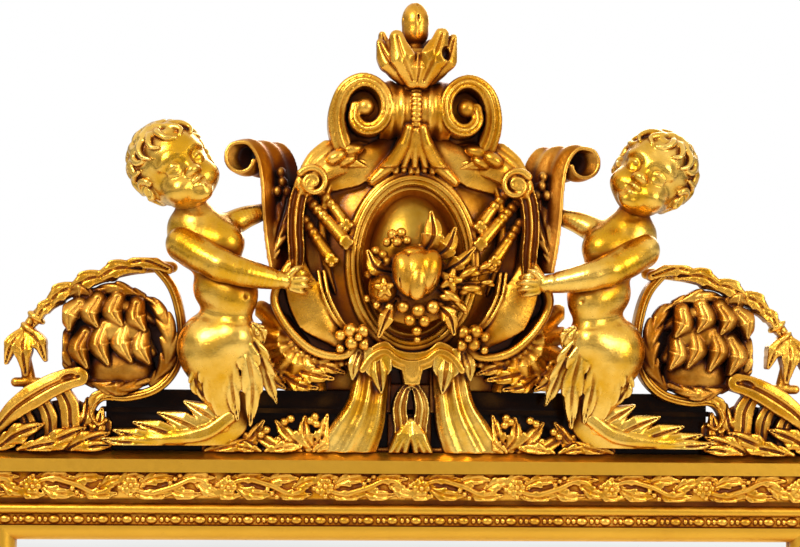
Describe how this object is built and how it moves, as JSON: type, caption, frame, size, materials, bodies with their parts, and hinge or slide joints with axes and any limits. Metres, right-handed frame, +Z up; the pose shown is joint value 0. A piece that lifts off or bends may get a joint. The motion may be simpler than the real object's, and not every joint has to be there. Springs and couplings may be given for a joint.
{
  "type": "trumeau mirror",
  "caption": "Tall wall mirror in a moulded gilded frame, with a carved crest of two child figures, a cartouche, scrolls and leaves.",
  "frame": {"origin": "centre of the four wall-screw holes, on the wall plane", "axes": "+Z up, +Y back into the wall, +X to the right as the glass is faced"},
  "size_m": [1.252, 0.148, 2.216],
  "materials": {
    "gilt_moulding": "gilded softwood moulding, burnished with toned recesses",
    "gilt_carving": "carved and gilded limewood, burnished with dark toned recesses",
    "bare_wood": "aged unfinished softwood",
    "mirror_glass": "silvered glass",
    "steel": "dull zinc-plated steel",
    "brass": "dull brass"
  },
  "bodies": {
    "mirror": {"back_board_1": "bare_wood", "back_board_2": "bare_wood", "back_board_3": "bare_wood", "back_scroll_left": "gilt_carving", "back_scroll_right": "gilt_carving", "bottom_bead_strip": "gilt_moulding", "bottom_leaf_frieze": "gilt_moulding", "bottom_rail": "gilt_moulding", "cartouche_apron": "gilt_carving", "cartouche_boss": "gilt_carving", "cartouche_scroll_left": "gilt_carving", "cartouche_scroll_right": "gilt_carving", "cartouche_shield": "gilt_carving", "child_arm_left": "gilt_carving", "child_arm_right": "gilt_carving", "child_body_left": "gilt_carving", "child_body_right": "gilt_carving", "child_head_left": "gilt_carving", "child_head_right": "gilt_carving", "corner_keys": "bare_wood", "crest_batten_left": "bare_wood", "crest_batten_right": "bare_wood", "crest_leg_left": "gilt_carving", "crest_leg_right": "gilt_carving", "crest_plinth": "gilt_moulding", "crest_plume": "gilt_carving", "crest_screws": "steel", "finial_bud": "gilt_carving", "finial_flower": "gilt_carving", "fruit_cluster": "gilt_carving", "glazing_battens": "bare_wood", "hanger_plate_left": "brass", "hanger_plate_right": "brass", "inner_leaves_left": "gilt_carving", "inner_leaves_right": "gilt_carving", "left_bead_strip": "gilt_moulding", "left_leaf_frieze": "gilt_moulding", "left_stile": "gilt_moulding", "mirror_glass": "mirror_glass", "outer_leaves_left": "gilt_carving", "outer_leaves_right": "gilt_carving", "outer_vine_left": "gilt_carving", "outer_vine_right": "gilt_carving", "right_bead_strip": "gilt_moulding", "right_leaf_frieze": "gilt_moulding", "right_stile": "gilt_moulding", "side_flower_left": "gilt_carving", "side_flower_right": "gilt_carving", "side_scroll_left": "gilt_carving", "side_scroll_right": "gilt_carving", "small_wood_screws": "steel", "tail_leaf_left": "gilt_carving", "tail_leaf_right": "gilt_carving", "top_bead_strip": "gilt_moulding", "top_leaf_frieze": "gilt_moulding", "top_rail": "gilt_moulding", "volute_cap": "gilt_carving", "wall_plates": "steel"},
    "hanger_ring_left": {"hanger_ring_left": "brass"},
    "hanger_ring_right": {"hanger_ring_right": "brass"}
  },
  "joints": [
    {"name": "hanger_ring_left_hinge", "type": "hinge", "parent": "mirror", "child": "hanger_ring_left", "pos_m": [-0.558, -0.00805, 0.69], "axis": [1, 0, 0], "range_deg": [0, 180]},
    {"name": "hanger_ring_right_hinge", "type": "hinge", "parent": "mirror", "child": "hanger_ring_right", "pos_m": [0.558, -0.00805, 0.69], "axis": [1, 0, 0], "range_deg": [0, 180]}
  ]
}
